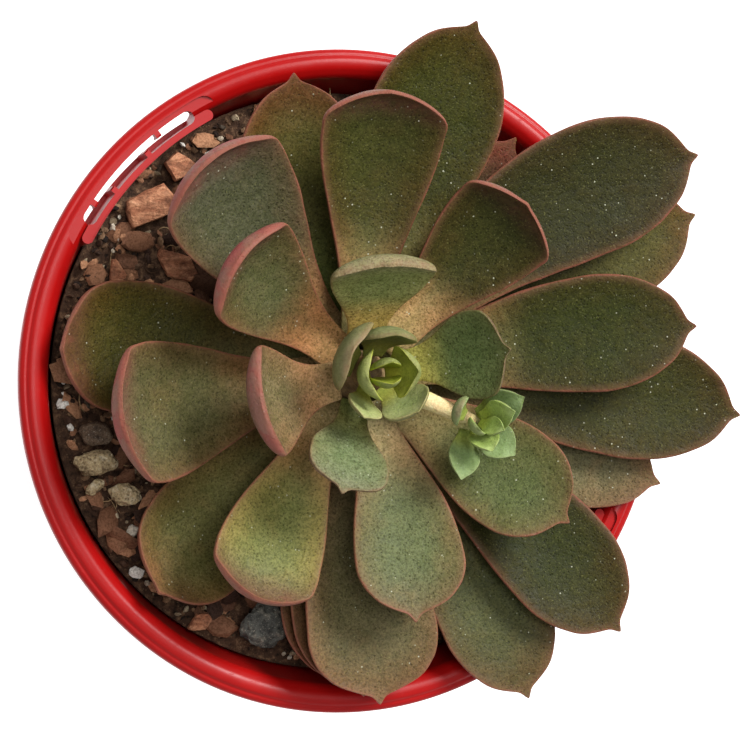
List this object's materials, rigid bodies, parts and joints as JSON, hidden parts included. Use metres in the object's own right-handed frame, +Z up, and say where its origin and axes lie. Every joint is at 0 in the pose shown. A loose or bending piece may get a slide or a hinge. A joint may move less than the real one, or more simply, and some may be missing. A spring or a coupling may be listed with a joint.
{
  "type": "potted succulent",
  "caption": "Fleshy rosette succulent with a small offset, growing in gritty soil in a round rolled-rim plastic pot with drain holes.",
  "frame": {"origin": "centre of the pot's flat underside, on its axis", "axes": "+Z up along the pot's axis; +X towards the side where the longest leaves overhang the rim; +Y a quarter turn anticlockwise from +X seen from above"},
  "size_m": [0.1859, 0.1744, 0.167],
  "materials": {
    "red_plastic": "satin",
    "soil_mix": "rough",
    "stem_skin": "matte",
    "outer_leaf": "satin",
    "heart_leaf": "satin",
    "offset_leaf": "satin",
    "bark": "rough",
    "pumice": "rough",
    "grey_rock": "rough",
    "dark_rock": "rough"
  },
  "bodies": {
    "root": {"pot": "red_plastic", "soil": "soil_mix", "stem": "stem_skin", "offset_stem": "stem_skin", "leaf_01": "outer_leaf", "leaf_02": "outer_leaf", "leaf_03": "outer_leaf", "leaf_04": "outer_leaf", "leaf_05": "outer_leaf", "leaf_06": "outer_leaf", "leaf_07": "outer_leaf", "leaf_08": "outer_leaf", "leaf_09": "outer_leaf", "leaf_10": "outer_leaf", "leaf_11": "outer_leaf", "leaf_12": "outer_leaf", "leaf_13": "outer_leaf", "leaf_14": "outer_leaf", "leaf_15": "outer_leaf", "leaf_16": "outer_leaf", "leaf_17": "outer_leaf", "leaf_18": "outer_leaf", "leaf_19": "outer_leaf", "leaf_20": "outer_leaf", "leaf_21": "outer_leaf", "leaf_22": "outer_leaf", "leaf_23": "outer_leaf", "leaf_24": "outer_leaf", "leaf_25": "outer_leaf", "leaf_26": "outer_leaf", "leaf_27": "outer_leaf", "heart_leaf_1": "heart_leaf", "heart_leaf_2": "heart_leaf", "heart_leaf_3": "heart_leaf", "heart_leaf_4": "heart_leaf", "heart_leaf_5": "heart_leaf", "heart_leaf_6": "heart_leaf", "heart_leaf_7": "heart_leaf", "heart_leaf_8": "heart_leaf", "offset_leaf_1": "offset_leaf", "offset_leaf_2": "offset_leaf", "offset_leaf_3": "offset_leaf", "offset_leaf_4": "offset_leaf", "offset_leaf_5": "offset_leaf", "offset_leaf_6": "offset_leaf", "offset_leaf_7": "offset_leaf", "offset_leaf_8": "offset_leaf", "bark_chip_1": "bark", "bark_chip_2": "bark", "bark_chip_3": "bark", "bark_chip_4": "bark", "bark_chip_5": "bark", "twig": "bark", "pumice_1": "pumice", "pumice_2": "pumice", "pumice_3": "pumice", "grey_stone": "grey_rock", "dark_stone": "dark_rock"}
  },
  "joints": []
}
